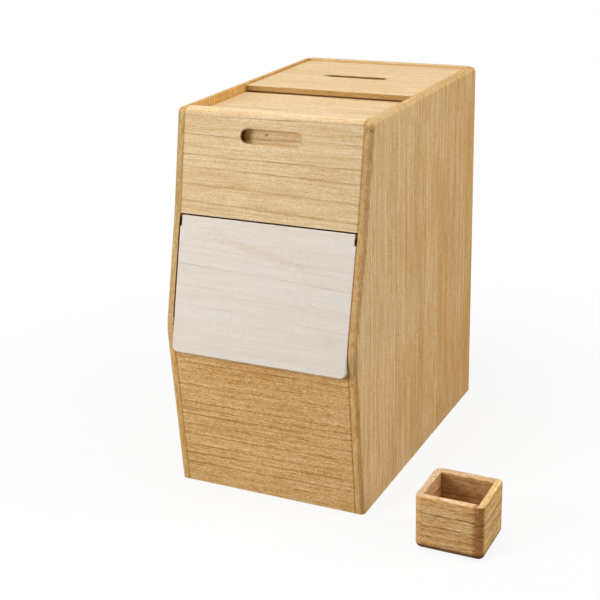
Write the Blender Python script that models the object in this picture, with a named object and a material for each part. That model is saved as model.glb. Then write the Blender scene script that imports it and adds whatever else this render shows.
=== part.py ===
"""A paulownia rice chest: sliding lid, swinging scoop flap and a loose measuring box.

Metres, +Z up. The chest faces -Y and its origin is the middle of its underside.
"""

import math

import bmesh
import bpy

# Front profile of the chest, from the floor up
LOWER_HEIGHT = 0.203
FLAP_ZONE_HEIGHT = 0.130
UPPER_HEIGHT = 0.117
FOOT_SETBACK = 0.017
FLAP_ZONE_SETBACK = 0.032
UPPER_SETBACK = 0.023

# Chest size and boards
CHEST_WIDTH = 0.240
CHEST_DEPTH = 0.398
SIDE_THICKNESS = 0.010
UPPER_PANEL_THICKNESS = 0.015
LOWER_PANEL_THICKNESS = 0.012
BACK_THICKNESS = 0.012
BOTTOM_THICKNESS = 0.012
TOP_BOARD_THICKNESS = 0.010
SLOPE_THICKNESS = 0.009

# Rounding of the chest's edges
BEND_RADIUS = 0.080
RIM_RADIUS = 0.007
BACK_CORNER_RADIUS = 0.007
EDGE_RADIUS = 0.0058
ARRIS = 0.0006
FLAP_ARRIS = 0.0012
RIM_ARRIS = 0.0010

# Lid and its rails
LID_LENGTH = 0.183
LID_THICKNESS = 0.008
LID_RECESS = 0.002
LID_LAP = 0.015
LID_SLOT_SETBACK = 0.088
LID_SLOT_LENGTH = 0.078
LID_SLOT_WIDTH = 0.012
RAIL_WIDTH = 0.012
RAIL_HEIGHT = 0.012

# Finger recess in the upper panel
RECESS_LENGTH = 0.075
RECESS_HEIGHT = 0.017
RECESS_DEPTH = 0.0115
RECESS_DROP = 0.026

# Flap, its seat on the lower panel and its pivots
FLAP_THICKNESS = 0.008
FLAP_LAP = 0.002
FLAP_CORNER_RADIUS = 0.007
FLAP_NOTCH_WIDTH = 0.002
FLAP_NOTCH_HEIGHT = 0.012
SEAT_RISE = 0.017
PIVOT_DROP = 0.007
PIN_DIAMETER = 0.004
PIN_IN_SIDE = 0.006
PIN_IN_FLAP = 0.014
WASHER_DIAMETER = 0.008

# Sloped floor, where its top meets the front and the back
SLOPE_FRONT_HEIGHT = 0.030
SLOPE_BACK_HEIGHT = 0.110
BEARER_WIDTH = 0.012

# Measuring box and its place beside the chest
BOX_WIDTH = 0.0787
BOX_DEPTH = 0.0721
BOX_HEIGHT = 0.0649
BOX_WALL = 0.0087
BOX_FLOOR = 0.0112
BOX_ROUNDING = 0.0075
BOX_STANDOFF = 0.07705
BOX_FROM_BEND = 0.0099

# Fits: glue lines, running gaps and side play
JOINT_GAP = 0.0003
SEAT_GAP = 0.0004
FLAP_HEAD_GAP = 0.0025
FLAP_SIDE_PLAY = 0.0010
LID_SIDE_PLAY = 0.0006
LID_RUN_GAP = 0.0003
PIN_PLAY = 0.0002

# Smoothness of round forms
ARC_STEP = math.radians(6)
EDGE_SEGMENTS = 4
ARRIS_SEGMENTS = 2
ROUND_SIDES = 24


def inward(line, distance):
    """A rising line moved towards the back by a distance square to itself."""
    (y0, z0), (y1, z1) = line
    shift = distance * math.hypot(y1 - y0, z1 - z0) / (z1 - z0)
    return (y0 + shift, z0), (y1 + shift, z1)


def depth_at(line, height):
    """The y of a line at a height."""
    (y0, z0), (y1, z1) = line
    return y0 + (y1 - y0) * (height - z0) / (z1 - z0)


def crossing(first, second):
    """The point where two lines meet."""
    (y0, z0), (y1, z1) = first
    (y2, z2), (y3, z3) = second
    along_y, along_z = y1 - y0, z1 - z0
    other_y, other_z = y3 - y2, z3 - z2
    share = ((y2 - y0) * other_z - (z2 - z0) * other_y) / (along_y * other_z - along_z * other_y)
    return y0 + along_y * share, z0 + along_z * share


def lean(line):
    """How far a rising line leans towards the back, in radians."""
    (y0, z0), (y1, z1) = line
    return math.atan2(y1 - y0, z1 - z0)


# Heights, depths and faces that the boards share
CHEST_HEIGHT = LOWER_HEIGHT + FLAP_ZONE_HEIGHT + UPPER_HEIGHT
INNER_WIDTH = CHEST_WIDTH - 2 * SIDE_THICKNESS
FILLED_WIDTH = INNER_WIDTH - 2 * JOINT_GAP
FRONT = -CHEST_DEPTH / 2
BACK = CHEST_DEPTH / 2
BACK_INSIDE = BACK - BACK_THICKNESS

FOOT = (FRONT + FOOT_SETBACK, 0.0)
BEND = (FRONT, LOWER_HEIGHT)
HEAD = (FRONT + FLAP_ZONE_SETBACK, LOWER_HEIGHT + FLAP_ZONE_HEIGHT)
RIM = (HEAD[0] + UPPER_SETBACK, CHEST_HEIGHT)
LOWER_FACE = (FOOT, BEND)
FLAP_FACE = (BEND, HEAD)
UPPER_FACE = (HEAD, RIM)
LOWER_BACK = inward(LOWER_FACE, LOWER_PANEL_THICKNESS)
UPPER_BACK = inward(UPPER_FACE, UPPER_PANEL_THICKNESS)

LID_UNDERSIDE = CHEST_HEIGHT - LID_RECESS - LID_THICKNESS
LID_FRONT = BACK_INSIDE - JOINT_GAP - LID_LENGTH
TOP_BOARD_TOP = LID_UNDERSIDE - LID_RUN_GAP
TOP_BOARD_UNDERSIDE = TOP_BOARD_TOP - TOP_BOARD_THICKNESS
TOP_BOARD_REAR = LID_FRONT + LID_LAP

FLAP_LEAN = lean(FLAP_FACE)
FLAP_TOP = HEAD[1] - FLAP_HEAD_GAP
SEAT_LINE = inward(FLAP_FACE, FLAP_THICKNESS + SEAT_GAP)
SEAT_TOE = crossing(SEAT_LINE, LOWER_FACE)


def flap_point(along, deep):
    """A point of the flap, given down its face from its top edge and into its thickness."""
    top_y = depth_at(FLAP_FACE, FLAP_TOP)
    y = top_y - along * math.sin(FLAP_LEAN) + deep * math.cos(FLAP_LEAN)
    z = FLAP_TOP - along * math.cos(FLAP_LEAN) - deep * math.sin(FLAP_LEAN)
    return y, z


def down_the_flap(point):
    """How far down the flap's face a point lies, from the flap's top edge."""
    top_y = depth_at(FLAP_FACE, FLAP_TOP)
    return (top_y - point[0]) * math.sin(FLAP_LEAN) + (FLAP_TOP - point[1]) * math.cos(FLAP_LEAN)


FLAP_WIDTH = INNER_WIDTH - 2 * FLAP_SIDE_PLAY
FLAP_LENGTH = down_the_flap(SEAT_TOE) + FLAP_LAP
PIVOT = flap_point(PIVOT_DROP, FLAP_THICKNESS / 2)
BOX_ROUND = min(BOX_ROUNDING, BOX_WALL - ARRIS)


def clear_scene():
    for leftover in list(bpy.data.objects):
        bpy.data.objects.remove(leftover, do_unlink=True)


def finish(name, colour, roughness, metallic=0.0):
    """A Principled BSDF material."""
    made = bpy.data.materials.new(name)
    made.use_nodes = True
    shader = made.node_tree.nodes["Principled BSDF"]
    shader.inputs["Base Color"].default_value = (*colour, 1.0)
    shader.inputs["Roughness"].default_value = roughness
    shader.inputs["Metallic"].default_value = metallic
    made.diffuse_color = (*colour, 1.0)
    return made


def rounded(points, radii):
    """A closed outline whose corners are turned into arcs; a radius of 0 keeps a corner sharp."""
    outline = []
    for index, (corner, radius) in enumerate(zip(points, radii)):
        before = points[index - 1]
        after = points[(index + 1) % len(points)]
        heading = math.atan2(corner[1] - before[1], corner[0] - before[0])
        leaving = math.atan2(after[1] - corner[1], after[0] - corner[0])
        turn = math.remainder(leaving - heading, math.tau)
        if radius == 0:
            outline.append(corner)
            continue
        back_off = radius * math.tan(abs(turn) / 2)
        start = (corner[0] - back_off * math.cos(heading), corner[1] - back_off * math.sin(heading))
        side = math.copysign(1, turn)
        centre = (start[0] - side * radius * math.sin(heading), start[1] + side * radius * math.cos(heading))
        steps = max(1, round(abs(turn) / ARC_STEP))
        for step in range(steps + 1):
            angle = heading + turn * step / steps - side * math.pi / 2
            outline.append((centre[0] + radius * math.cos(angle), centre[1] + radius * math.sin(angle)))
    return outline


def stadium(length, height):
    """A level outline with half-round ends."""
    radius = height / 2
    straight = length / 2 - radius
    steps = ROUND_SIDES // 2
    outline = []
    for middle, start in ((straight, -math.pi / 2), (-straight, math.pi / 2)):
        for step in range(steps + 1):
            angle = start + math.pi * step / steps
            outline.append((middle + radius * math.cos(angle), radius * math.sin(angle)))
    return outline


# The three ways that an outline and its extrusion lie on X, Y and Z
def along_x(a, b, c):
    return c, a, b


def along_y(a, b, c):
    return a, c, b


def along_z(a, b, c):
    return a, b, c


def extruded(outline, low, high, lay):
    """A bmesh prism: an outline swept from low to high."""
    shape = bmesh.new()
    rings = [[shape.verts.new(lay(a, b, level)) for a, b in outline] for level in (low, high)]
    shape.faces.new(rings[0])
    shape.faces.new(rings[1])
    for index in range(len(outline)):
        following = (index + 1) % len(outline)
        shape.faces.new((rings[0][index], rings[0][following], rings[1][following], rings[1][index]))
    bmesh.ops.recalc_face_normals(shape, faces=shape.faces)
    return shape


def round_over(shape, edges, radius):
    """Rounds some edges of a bmesh."""
    bmesh.ops.bevel(
        shape, geom=edges, offset=radius, segments=EDGE_SEGMENTS, profile=0.5, affect="EDGES", clamp_overlap=True
    )


def lies_at(edge, axis, level):
    """Whether both ends of an edge lie at a level of X (0), Y (1) or Z (2)."""
    return all(abs(end.co[axis] - level) < ARRIS for end in edge.verts)


def piece(name, shape, wood, parent, location=(0.0, 0.0, 0.0), arris=ARRIS):
    """A named object made from a bmesh, with its sharp edges eased."""
    mesh = bpy.data.meshes.new(name)
    shape.to_mesh(mesh)
    shape.free()
    mesh.shade_smooth()
    mesh.set_sharp_from_angle(angle=math.radians(35))
    made = bpy.data.objects.new(name, mesh)
    made.data.materials.append(wood)
    made.parent = parent
    made.location = location
    bpy.context.scene.collection.objects.link(made)
    if arris:
        eased = made.modifiers.new("eased_edges", "BEVEL")
        eased.width = arris
        eased.segments = ARRIS_SEGMENTS
        eased.limit_method = "ANGLE"
        eased.angle_limit = math.radians(50)
    return made


def cutter(name, shape, parent, location=(0.0, 0.0, 0.0), rotation=(0.0, 0.0, 0.0)):
    """A tool body that is not part of the chest."""
    mesh = bpy.data.meshes.new(name)
    shape.to_mesh(mesh)
    shape.free()
    made = bpy.data.objects.new(name, mesh)
    made.parent = parent
    made.location = location
    made.rotation_euler = rotation
    made.hide_render = True
    made.display_type = "WIRE"
    bpy.context.scene.collection.objects.link(made)
    return made


def cut(target, tool):
    taken = target.modifiers.new(tool.name, "BOOLEAN")
    taken.operation = "DIFFERENCE"
    taken.solver = "EXACT"
    taken.object = tool


def round_bar(diameter, low, high):
    """A round bar along X."""
    radius = diameter / 2
    angles = [math.tau * step / ROUND_SIDES for step in range(ROUND_SIDES)]
    return extruded([(radius * math.cos(a), radius * math.sin(a)) for a in angles], low, high, along_x)


def group(name, location=(0.0, 0.0, 0.0)):
    made = bpy.data.objects.new(name, None)
    made.location = location
    bpy.context.scene.collection.objects.link(made)
    return made


def level_board(name, outline, wood, parent):
    """A board between the sides: an outline in Y and Z, as wide as the chest is inside."""
    return piece(name, extruded(outline, -FILLED_WIDTH / 2, FILLED_WIDTH / 2, along_x), wood, parent)


def side_panel(side, name, wood, chest):
    """One side; its outer edges are rounded at the front, top and back, and it holds one pivot pin."""
    corners = (FOOT, (BACK, 0.0), (BACK, CHEST_HEIGHT), RIM, HEAD, BEND)
    outline = rounded(corners, (0, 0, BACK_CORNER_RADIUS, RIM_RADIUS, 0, BEND_RADIUS))
    inner = side * INNER_WIDTH / 2
    outer = side * CHEST_WIDTH / 2
    shape = extruded(outline, min(inner, outer), max(inner, outer), along_x)
    shown = [edge for edge in shape.edges if lies_at(edge, 0, outer) and not lies_at(edge, 2, 0.0)]
    round_over(shape, shown, min(EDGE_RADIUS, SIDE_THICKNESS - 2 * ARRIS))
    panel = piece(name, shape, wood, chest)
    depth = side * (PIN_IN_SIDE + JOINT_GAP)
    ends = sorted((-side * SIDE_THICKNESS, depth))
    bore = cutter(name + "_pin_hole", round_bar(PIN_DIAMETER + 2 * PIN_PLAY, *ends), chest, (inner, *PIVOT))
    cut(panel, bore)


def upper_front_panel(wood, chest):
    """The fixed front above the flap, with a blind finger recess."""
    corners = (HEAD, UPPER_BACK[0], UPPER_BACK[1], RIM)
    outline = rounded(corners, (0, 0, 0, RIM_RADIUS))
    panel = level_board("upper_front_panel", outline, wood, chest)
    height = CHEST_HEIGHT - RECESS_DROP
    stand_off = UPPER_PANEL_THICKNESS
    pocket = extruded(stadium(RECESS_LENGTH, RECESS_HEIGHT), -stand_off, RECESS_DEPTH, along_y)
    place = (0.0, depth_at(UPPER_FACE, height), height)
    cut(panel, cutter("finger_recess", pocket, chest, place, (-lean(UPPER_FACE), 0.0, 0.0)))


def lower_front_panel(wood, chest):
    """The fixed front below the flap; its head is planed to the flap's lean as a seat."""
    seat_top = SEAT_TOE[1] + SEAT_RISE
    outline = (
        FOOT,
        LOWER_BACK[0],
        (depth_at(LOWER_BACK, seat_top), seat_top),
        (depth_at(SEAT_LINE, seat_top), seat_top),
        SEAT_TOE,
    )
    level_board("lower_front_panel", outline, wood, chest)


def back_panel(wood, chest):
    outline = ((BACK_INSIDE, 0.0), (BACK, 0.0), (BACK, CHEST_HEIGHT), (BACK_INSIDE, CHEST_HEIGHT))
    level_board("back_panel", outline, wood, chest)


def bottom_board(wood, chest):
    front = inward(LOWER_BACK, JOINT_GAP)
    rear = BACK_INSIDE - JOINT_GAP
    outline = (
        front[0],
        (rear, 0.0),
        (rear, BOTTOM_THICKNESS),
        (depth_at(front, BOTTOM_THICKNESS), BOTTOM_THICKNESS),
    )
    level_board("bottom_board", outline, wood, chest)


def front_top_board(wood, chest):
    """The fixed board behind the rim, which the lid slides over."""
    front = inward(UPPER_BACK, JOINT_GAP)
    outline = (
        (depth_at(front, TOP_BOARD_UNDERSIDE), TOP_BOARD_UNDERSIDE),
        (TOP_BOARD_REAR, TOP_BOARD_UNDERSIDE),
        (TOP_BOARD_REAR, TOP_BOARD_TOP),
        (depth_at(front, TOP_BOARD_TOP), TOP_BOARD_TOP),
    )
    level_board("front_top_board", outline, wood, chest)


def lid_rail(side, name, wood, chest):
    """A rail on a side: its low front carries the front top board, its high rear carries the lid."""
    front = inward(UPPER_BACK, JOINT_GAP)
    rear = BACK_INSIDE - JOINT_GAP
    low = TOP_BOARD_UNDERSIDE - JOINT_GAP
    underside = low - RAIL_HEIGHT
    step = TOP_BOARD_REAR + JOINT_GAP
    outline = (
        (depth_at(front, underside), underside),
        (rear, underside),
        (rear, TOP_BOARD_TOP),
        (step, TOP_BOARD_TOP),
        (step, low),
        (depth_at(front, low), low),
    )
    middle = side * (INNER_WIDTH / 2 - JOINT_GAP - RAIL_WIDTH / 2)
    shape = extruded(outline, -RAIL_WIDTH / 2, RAIL_WIDTH / 2, along_x)
    piece(name, shape, wood, chest, (middle, 0.0, 0.0))


def slope_line(drop):
    """The sloped floor's top, or a line a distance square below it, from front to back."""
    front_y = depth_at(LOWER_BACK, SLOPE_FRONT_HEIGHT)
    run = BACK_INSIDE - front_y
    lower = drop * math.hypot(run, SLOPE_BACK_HEIGHT - SLOPE_FRONT_HEIGHT) / run
    return (front_y, SLOPE_FRONT_HEIGHT - lower), (BACK_INSIDE, SLOPE_BACK_HEIGHT - lower)


def sloped_floor(wood, chest):
    """The inner floor that brings the rice forward."""
    front = inward(LOWER_BACK, JOINT_GAP)
    rear = BACK_INSIDE - JOINT_GAP
    rear_line = ((rear, 0.0), (rear, CHEST_HEIGHT))
    top = slope_line(0.0)
    under = slope_line(SLOPE_THICKNESS)
    outline = (crossing(under, front), crossing(under, rear_line), crossing(top, rear_line), crossing(top, front))
    level_board("sloped_floor", outline, wood, chest)


def slope_bearer(side, name, wood, chest):
    """A tapered bearer beside a side panel, standing on the bottom board under the sloped floor."""
    front = inward(LOWER_BACK, JOINT_GAP)
    rear = BACK_INSIDE - JOINT_GAP
    rear_line = ((rear, 0.0), (rear, CHEST_HEIGHT))
    seat = BOTTOM_THICKNESS + JOINT_GAP
    top = slope_line(SLOPE_THICKNESS + JOINT_GAP)
    outline = ((depth_at(front, seat), seat), (rear, seat), crossing(top, rear_line), crossing(top, front))
    middle = side * (INNER_WIDTH / 2 - JOINT_GAP - BEARER_WIDTH / 2)
    shape = extruded(outline, -BEARER_WIDTH / 2, BEARER_WIDTH / 2, along_x)
    piece(name, shape, wood, chest, (middle, 0.0, 0.0))


def lid(wood, chest):
    """The sliding lid with its finger slot; its origin is the middle of its underside."""
    half_width = INNER_WIDTH / 2 - LID_SIDE_PLAY
    half_length = LID_LENGTH / 2
    outline = (
        (-half_width, -half_length),
        (half_width, -half_length),
        (half_width, half_length),
        (-half_width, half_length),
    )
    place = (0.0, LID_FRONT + half_length, LID_UNDERSIDE)
    board = piece("lid", extruded(outline, 0.0, LID_THICKNESS, along_z), wood, chest, place)
    opening = extruded(stadium(LID_SLOT_LENGTH, LID_SLOT_WIDTH), -LID_THICKNESS, 2 * LID_THICKNESS, along_z)
    cut(board, cutter("finger_slot", opening, chest, (0.0, LID_FRONT + LID_SLOT_SETBACK, LID_UNDERSIDE)))


def flap(wood, chest):
    """The swinging flap; its origin is on the pivot axis."""
    half = FLAP_WIDTH / 2
    neck = half - FLAP_NOTCH_WIDTH
    top = PIVOT_DROP
    shoulder = top - FLAP_NOTCH_HEIGHT
    bottom = top - FLAP_LENGTH
    corners = (
        (-half, bottom),
        (half, bottom),
        (half, shoulder),
        (neck, shoulder),
        (neck, top),
        (-neck, top),
        (-neck, shoulder),
        (-half, shoulder),
    )
    radii = (FLAP_CORNER_RADIUS, FLAP_CORNER_RADIUS, 0, 0, 0, 0, 0, 0)
    shape = extruded(rounded(corners, radii), -FLAP_THICKNESS / 2, FLAP_THICKNESS / 2, along_y)
    place = (0.0, *PIVOT)
    board = piece("flap", shape, wood, chest, place, FLAP_ARRIS)
    board.rotation_euler = (-FLAP_LEAN, 0.0, 0.0)
    depth = PIN_IN_FLAP + JOINT_GAP
    for side, word in ((-1, "left"), (1, "right")):
        ends = sorted((side * (neck - depth), side * CHEST_WIDTH / 2))
        bore = round_bar(PIN_DIAMETER + 2 * PIN_PLAY, *ends)
        cut(board, cutter(f"flap_pin_hole_{word}", bore, chest, place))


def pivot(side, word, steel, nylon, chest):
    """A pivot pin, blind in the side and in the flap, and the washer on it in the flap's notch."""
    inner = INNER_WIDTH / 2
    neck = FLAP_WIDTH / 2 - FLAP_NOTCH_WIDTH
    place = (0.0, *PIVOT)
    ends = sorted((side * (inner + PIN_IN_SIDE), side * (neck - PIN_IN_FLAP)))
    piece(f"pivot_pin_{word}", round_bar(PIN_DIAMETER, *ends), steel, chest, place, ARRIS / 2)
    ends = sorted((side * (inner - JOINT_GAP), side * (neck + JOINT_GAP)))
    washer = piece(f"pivot_washer_{word}", round_bar(WASHER_DIAMETER, *ends), nylon, chest, place, ARRIS / 2)
    bore = round_bar(PIN_DIAMETER + 2 * PIN_PLAY, *sorted((0.0, side * CHEST_WIDTH)))
    cut(washer, cutter(f"washer_hole_{word}", bore, chest, place))


def box_side_wall(side, name, wood, box):
    """A through wall of the measuring box, rounded at its outer corners and foot."""
    outer = side * BOX_WIDTH / 2
    inner = side * (BOX_WIDTH / 2 - BOX_WALL)
    half = BOX_DEPTH / 2
    outline = ((-half, 0.0), (half, 0.0), (half, BOX_HEIGHT), (-half, BOX_HEIGHT))
    shape = extruded(outline, min(outer, inner), max(outer, inner), along_x)
    corners = [edge for edge in shape.edges if lies_at(edge, 0, outer) and not lies_at(edge, 2, BOX_HEIGHT)]
    ends = [edge for edge in shape.edges if lies_at(edge, 2, 0.0) and not lies_at(edge, 0, inner)]
    round_over(shape, list(set(corners + ends)), BOX_ROUND)
    piece(name, shape, wood, box, arris=RIM_ARRIS)


def box_end_wall(end, name, wood, box):
    """The front or back wall of the measuring box, between the through walls."""
    outer = end * BOX_DEPTH / 2
    inner = end * (BOX_DEPTH / 2 - BOX_WALL)
    corners = ((inner, 0.0), (outer, 0.0), (outer, BOX_HEIGHT), (inner, BOX_HEIGHT))
    outline = rounded(corners, (0, BOX_ROUND, RIM_ARRIS, RIM_ARRIS))
    half = BOX_WIDTH / 2 - BOX_WALL - JOINT_GAP
    piece(name, extruded(outline, -half, half, along_x), wood, box, arris=0.0)


def box_floor(wood, box):
    half_width = BOX_WIDTH / 2 - BOX_WALL - JOINT_GAP
    half_depth = BOX_DEPTH / 2 - BOX_WALL - JOINT_GAP
    outline = (
        (-half_width, -half_depth),
        (half_width, -half_depth),
        (half_width, half_depth),
        (-half_width, half_depth),
    )
    piece("box_floor", extruded(outline, 0.0, BOX_FLOOR, along_z), wood, box)


def build_chest():
    chest = group("rice_chest")
    side_wood = finish("side_wood", (0.62, 0.40, 0.19), 0.55)
    front_wood = finish("front_wood", (0.68, 0.45, 0.21), 0.55)
    top_wood = finish("top_wood", (0.76, 0.55, 0.28), 0.55)
    pale_wood = finish("pale_wood", (0.76, 0.70, 0.62), 0.6)
    inner_wood = finish("inner_wood", (0.60, 0.42, 0.22), 0.65)
    steel = finish("pin_steel", (0.55, 0.55, 0.55), 0.35, 1.0)
    nylon = finish("washer_nylon", (0.03, 0.02, 0.015), 0.5)
    for side, word in ((-1, "left"), (1, "right")):
        side_panel(side, f"side_panel_{word}", side_wood, chest)
        lid_rail(side, f"lid_rail_{word}", inner_wood, chest)
        slope_bearer(side, f"slope_bearer_{word}", inner_wood, chest)
        pivot(side, word, steel, nylon, chest)
    upper_front_panel(front_wood, chest)
    lower_front_panel(front_wood, chest)
    back_panel(side_wood, chest)
    bottom_board(inner_wood, chest)
    sloped_floor(inner_wood, chest)
    front_top_board(top_wood, chest)
    lid(top_wood, chest)
    flap(pale_wood, chest)


def build_measuring_box():
    place = (CHEST_WIDTH / 2 + BOX_STANDOFF + BOX_WIDTH / 2, FRONT + BOX_FROM_BEND, 0.0)
    box = group("measuring_box", place)
    box_wood = finish("box_wood", (0.58, 0.34, 0.14), 0.55)
    for side, word in ((-1, "left"), (1, "right")):
        box_side_wall(side, f"box_wall_{word}", box_wood, box)
    for end, word in ((-1, "front"), (1, "back")):
        box_end_wall(end, f"box_wall_{word}", box_wood, box)
    box_floor(box_wood, box)


clear_scene()
build_chest()
build_measuring_box()
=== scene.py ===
"""The look of a paulownia rice chest and its measuring box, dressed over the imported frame.

Metres, +Z up; the chest faces -Y and stands on z = 0.
"""

import math

import bmesh
import bpy
from mathutils import Matrix, Vector


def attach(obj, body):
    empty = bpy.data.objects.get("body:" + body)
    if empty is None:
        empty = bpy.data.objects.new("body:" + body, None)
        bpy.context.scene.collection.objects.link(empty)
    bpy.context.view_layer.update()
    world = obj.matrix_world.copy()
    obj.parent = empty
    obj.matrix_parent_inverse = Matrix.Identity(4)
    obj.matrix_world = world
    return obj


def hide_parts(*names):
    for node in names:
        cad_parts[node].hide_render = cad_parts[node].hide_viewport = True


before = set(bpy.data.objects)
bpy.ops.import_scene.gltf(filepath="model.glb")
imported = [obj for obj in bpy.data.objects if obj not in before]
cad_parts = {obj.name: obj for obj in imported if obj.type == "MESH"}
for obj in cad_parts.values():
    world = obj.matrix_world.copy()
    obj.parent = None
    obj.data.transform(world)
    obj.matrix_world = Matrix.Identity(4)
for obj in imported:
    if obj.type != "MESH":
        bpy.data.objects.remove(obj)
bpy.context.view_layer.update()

# Front profile of the chest in y and z, from the foot to the rim
FOOT = Vector((-0.182, 0.0))
BEND = Vector((-0.199, 0.203))
HEAD = Vector((-0.167, 0.333))
RIM = Vector((-0.144, 0.450))
BACK = 0.199
BACK_INSIDE = 0.187
CHEST_HEIGHT = 0.450

# Boards
INNER_HALF = 0.110
OUTER_HALF = 0.120
FILLED_HALF = 0.10996
UPPER_THICKNESS = 0.015
LOWER_THICKNESS = 0.012
TOP_BOARD_LEVELS = (0.4297, 0.4397)
TOP_BOARD_REAR = 0.0187
LID_LEVELS = (0.440, 0.448)
LID_REACH = (0.0037, 0.1867)
LID_HALF = 0.1094
SLOT_MIDDLE = 0.0917
SLOT_SIZE = (0.078, 0.012)
RECESS_SIZE = (0.075, 0.017)
RECESS_DEPTH = 0.0115
RECESS_HEIGHT = 0.424

# Rounding
BEND_RADIUS = 0.080
RIM_RADIUS = 0.007
BACK_CORNER_RADIUS = 0.007
OUTER_ROUNDING = 0.0058
ARRIS = 0.0007
JOINT_ARRIS = 0.0002
LID_UNDER_ARRIS = 0.0016
RECESS_ARRIS = 0.0009
RECESS_COVE = 0.0045
FLAP_ARRIS = 0.0014
BOX_ARRIS = 0.0022

# Flap, its pivots and its seat
FLAP_THICKNESS = 0.008
FLAP_HALF = 0.109
FLAP_LENGTH = 0.1575
FLAP_HEAD_RISE = 0.0010
FLAP_NOTCH = (0.002, 0.012)
FLAP_CORNER = 0.007
PIVOT = Vector((0.0, -0.165404, 0.322747))
PIVOT_DROP = 0.007
PIN_HOLE_RADIUS = 0.0022
PIN_IN_SIDE = 0.0063
PIN_IN_FLAP = 0.0143
SEAT_GAP = 0.0004
SEAT_RISE = 0.017

# Measuring box
BOX_MIDDLE = Vector((0.2364, -0.1891, 0.0))
BOX_HALF_WIDTH = 0.03935
BOX_HALF_DEPTH = 0.03605
BOX_HEIGHT = 0.0649
BOX_WALL = 0.0087
BOX_FLOOR = 0.0112
BOX_ROUNDING = 0.0075
BOX_JOINT_ARRIS = 0.00008
GLUE_LINE = 0.00004

# Tools and their tolerances
WELD_DISTANCE = 0.000005
LEVEL_TOLERANCE = 0.0002
SHARP_TURN = 1.0  # radians
CREASE_ANGLE = math.radians(50)
ARC_STEP = math.radians(3)
BOX_ARC_STEP = math.radians(11)
HALF_ROUND_STEPS = 24
HOLE_SIDES = 32
HOLE_OVERRUN = 0.004
RECESS_TOOL_LENGTH = 0.03

# Camera that sees the chest as the photograph does
VIEW_AZIMUTH = 26.0358
VIEW_ELEVATION = 20.3223
VIEW_ROLL = -1.5799
VIEW_DISTANCE = 1.5964
VIEW_OFFSET = (0.03789, 0.03379)
VIEW_AIM = Vector((0.0, 0.001, 0.22))
VIEW_LENS = 76.90
VIEW_SENSOR = 36.0

# Studio
WHITE = (1.0, 1.0, 1.0)
ROOM_TINT = (1.0, 0.985, 0.96)
ROOM_LIGHT = 0.30
LAMP_TINT = (1.0, 0.99, 0.97)
LAMP_AIM = Vector((0.05, 0.0, 0.22))
LAMP_DISTANCE = 2.4
FLOOR_REACH = 8.0
FLOOR_DROP = 0.0004
FLOOR_GLOW = 0.86
FLOOR_FADE = (0.25, 0.75)
PAPER_TONE = (0.9, 0.9, 0.9)
PAPER_BOUNCE = (0.4, 0.4, 0.4)


def tone(red, green, blue):
    """A colour given as it looks on a screen, 0 to 255, as linear light."""
    parts = (red / 255, green / 255, blue / 255)
    return tuple(p / 12.92 if p <= 0.04045 else ((p + 0.055) / 1.055) ** 2.4 for p in parts)


# ---------------------------------------------------------------- finishes


class Term:
    """What a node's socket gives; as a number in a shader tree it takes part in Python sums."""

    def __init__(self, tree, socket):
        self.tree = tree
        self.socket = socket

    def joined(self, operation, first, second):
        return self.tree.add("ShaderNodeMath", {"operation": operation}, {0: first, 1: second})

    def __add__(self, other):
        return self.joined("ADD", self, other)

    def __radd__(self, other):
        return self.joined("ADD", other, self)

    def __sub__(self, other):
        return self.joined("SUBTRACT", self, other)

    def __rsub__(self, other):
        return self.joined("SUBTRACT", other, self)

    def __mul__(self, other):
        return self.joined("MULTIPLY", self, other)

    def __rmul__(self, other):
        return self.joined("MULTIPLY", other, self)

    def __truediv__(self, other):
        return self.joined("DIVIDE", self, other)

    def __rtruediv__(self, other):
        return self.joined("DIVIDE", other, self)

    def __pow__(self, other):
        return self.joined("POWER", self, other)

    def __abs__(self):
        return self.tree.add("ShaderNodeMath", {"operation": "ABSOLUTE"}, {0: self})

    def floor(self):
        return self.tree.add("ShaderNodeMath", {"operation": "FLOOR"}, {0: self})

    def most(self, other):
        return self.joined("MAXIMUM", self, other)

    def least(self, other):
        return self.joined("MINIMUM", self, other)

    def step(self, low, high):
        """0 below low, 1 above high, and a soft rise between; falls if high is the lower one."""
        return self.tree.add(
            "ShaderNodeMapRange",
            {"interpolation_type": "SMOOTHSTEP", "clamp": True},
            {"Value": self, "From Min": low, "From Max": high, "To Min": 0.0, "To Max": 1.0},
        )


class Tree:
    """A node tree, and the one way that nodes get into it."""

    def __init__(self, node_tree):
        self.nodes = node_tree.nodes
        self.links = node_tree.links

    def add(self, kind, settings=None, sockets=None, output=0):
        """Any node: its type, its settings, then the values or links of its sockets."""
        node = self.nodes.new(kind)
        for key, value in (settings or {}).items():
            if key == "stops":
                ramp = node.color_ramp.elements
                while len(ramp) < len(value):
                    ramp.new(0.5)
                for stop, (place, colour) in zip(ramp, value):
                    stop.position = place
                    stop.color = (*colour, 1.0)
            else:
                setattr(node, key, value)
        for key, value in (sockets or {}).items():
            self.feed(node.inputs[key], value)
        return Term(self, node.outputs[output]) if node.outputs else None

    def feed(self, socket, value):
        if isinstance(value, Term):
            self.links.new(value.socket, socket)
        elif socket.is_multi_input:
            for term in value:
                self.links.new(term.socket, socket)
        elif socket.type == "RGBA" and len(value) == 3:
            socket.default_value = (*value, 1.0)
        else:
            socket.default_value = value

    def shown(self):
        """1 on the rays that make the picture, also by a mirror or through glass, and 0 on those that only light it."""
        straight, mirrored, through = (
            self.add("ShaderNodeLightPath", output=f"Is {way} Ray") for way in ("Camera", "Glossy", "Transmission")
        )
        return straight.most(mirrored).most(through)


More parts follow.
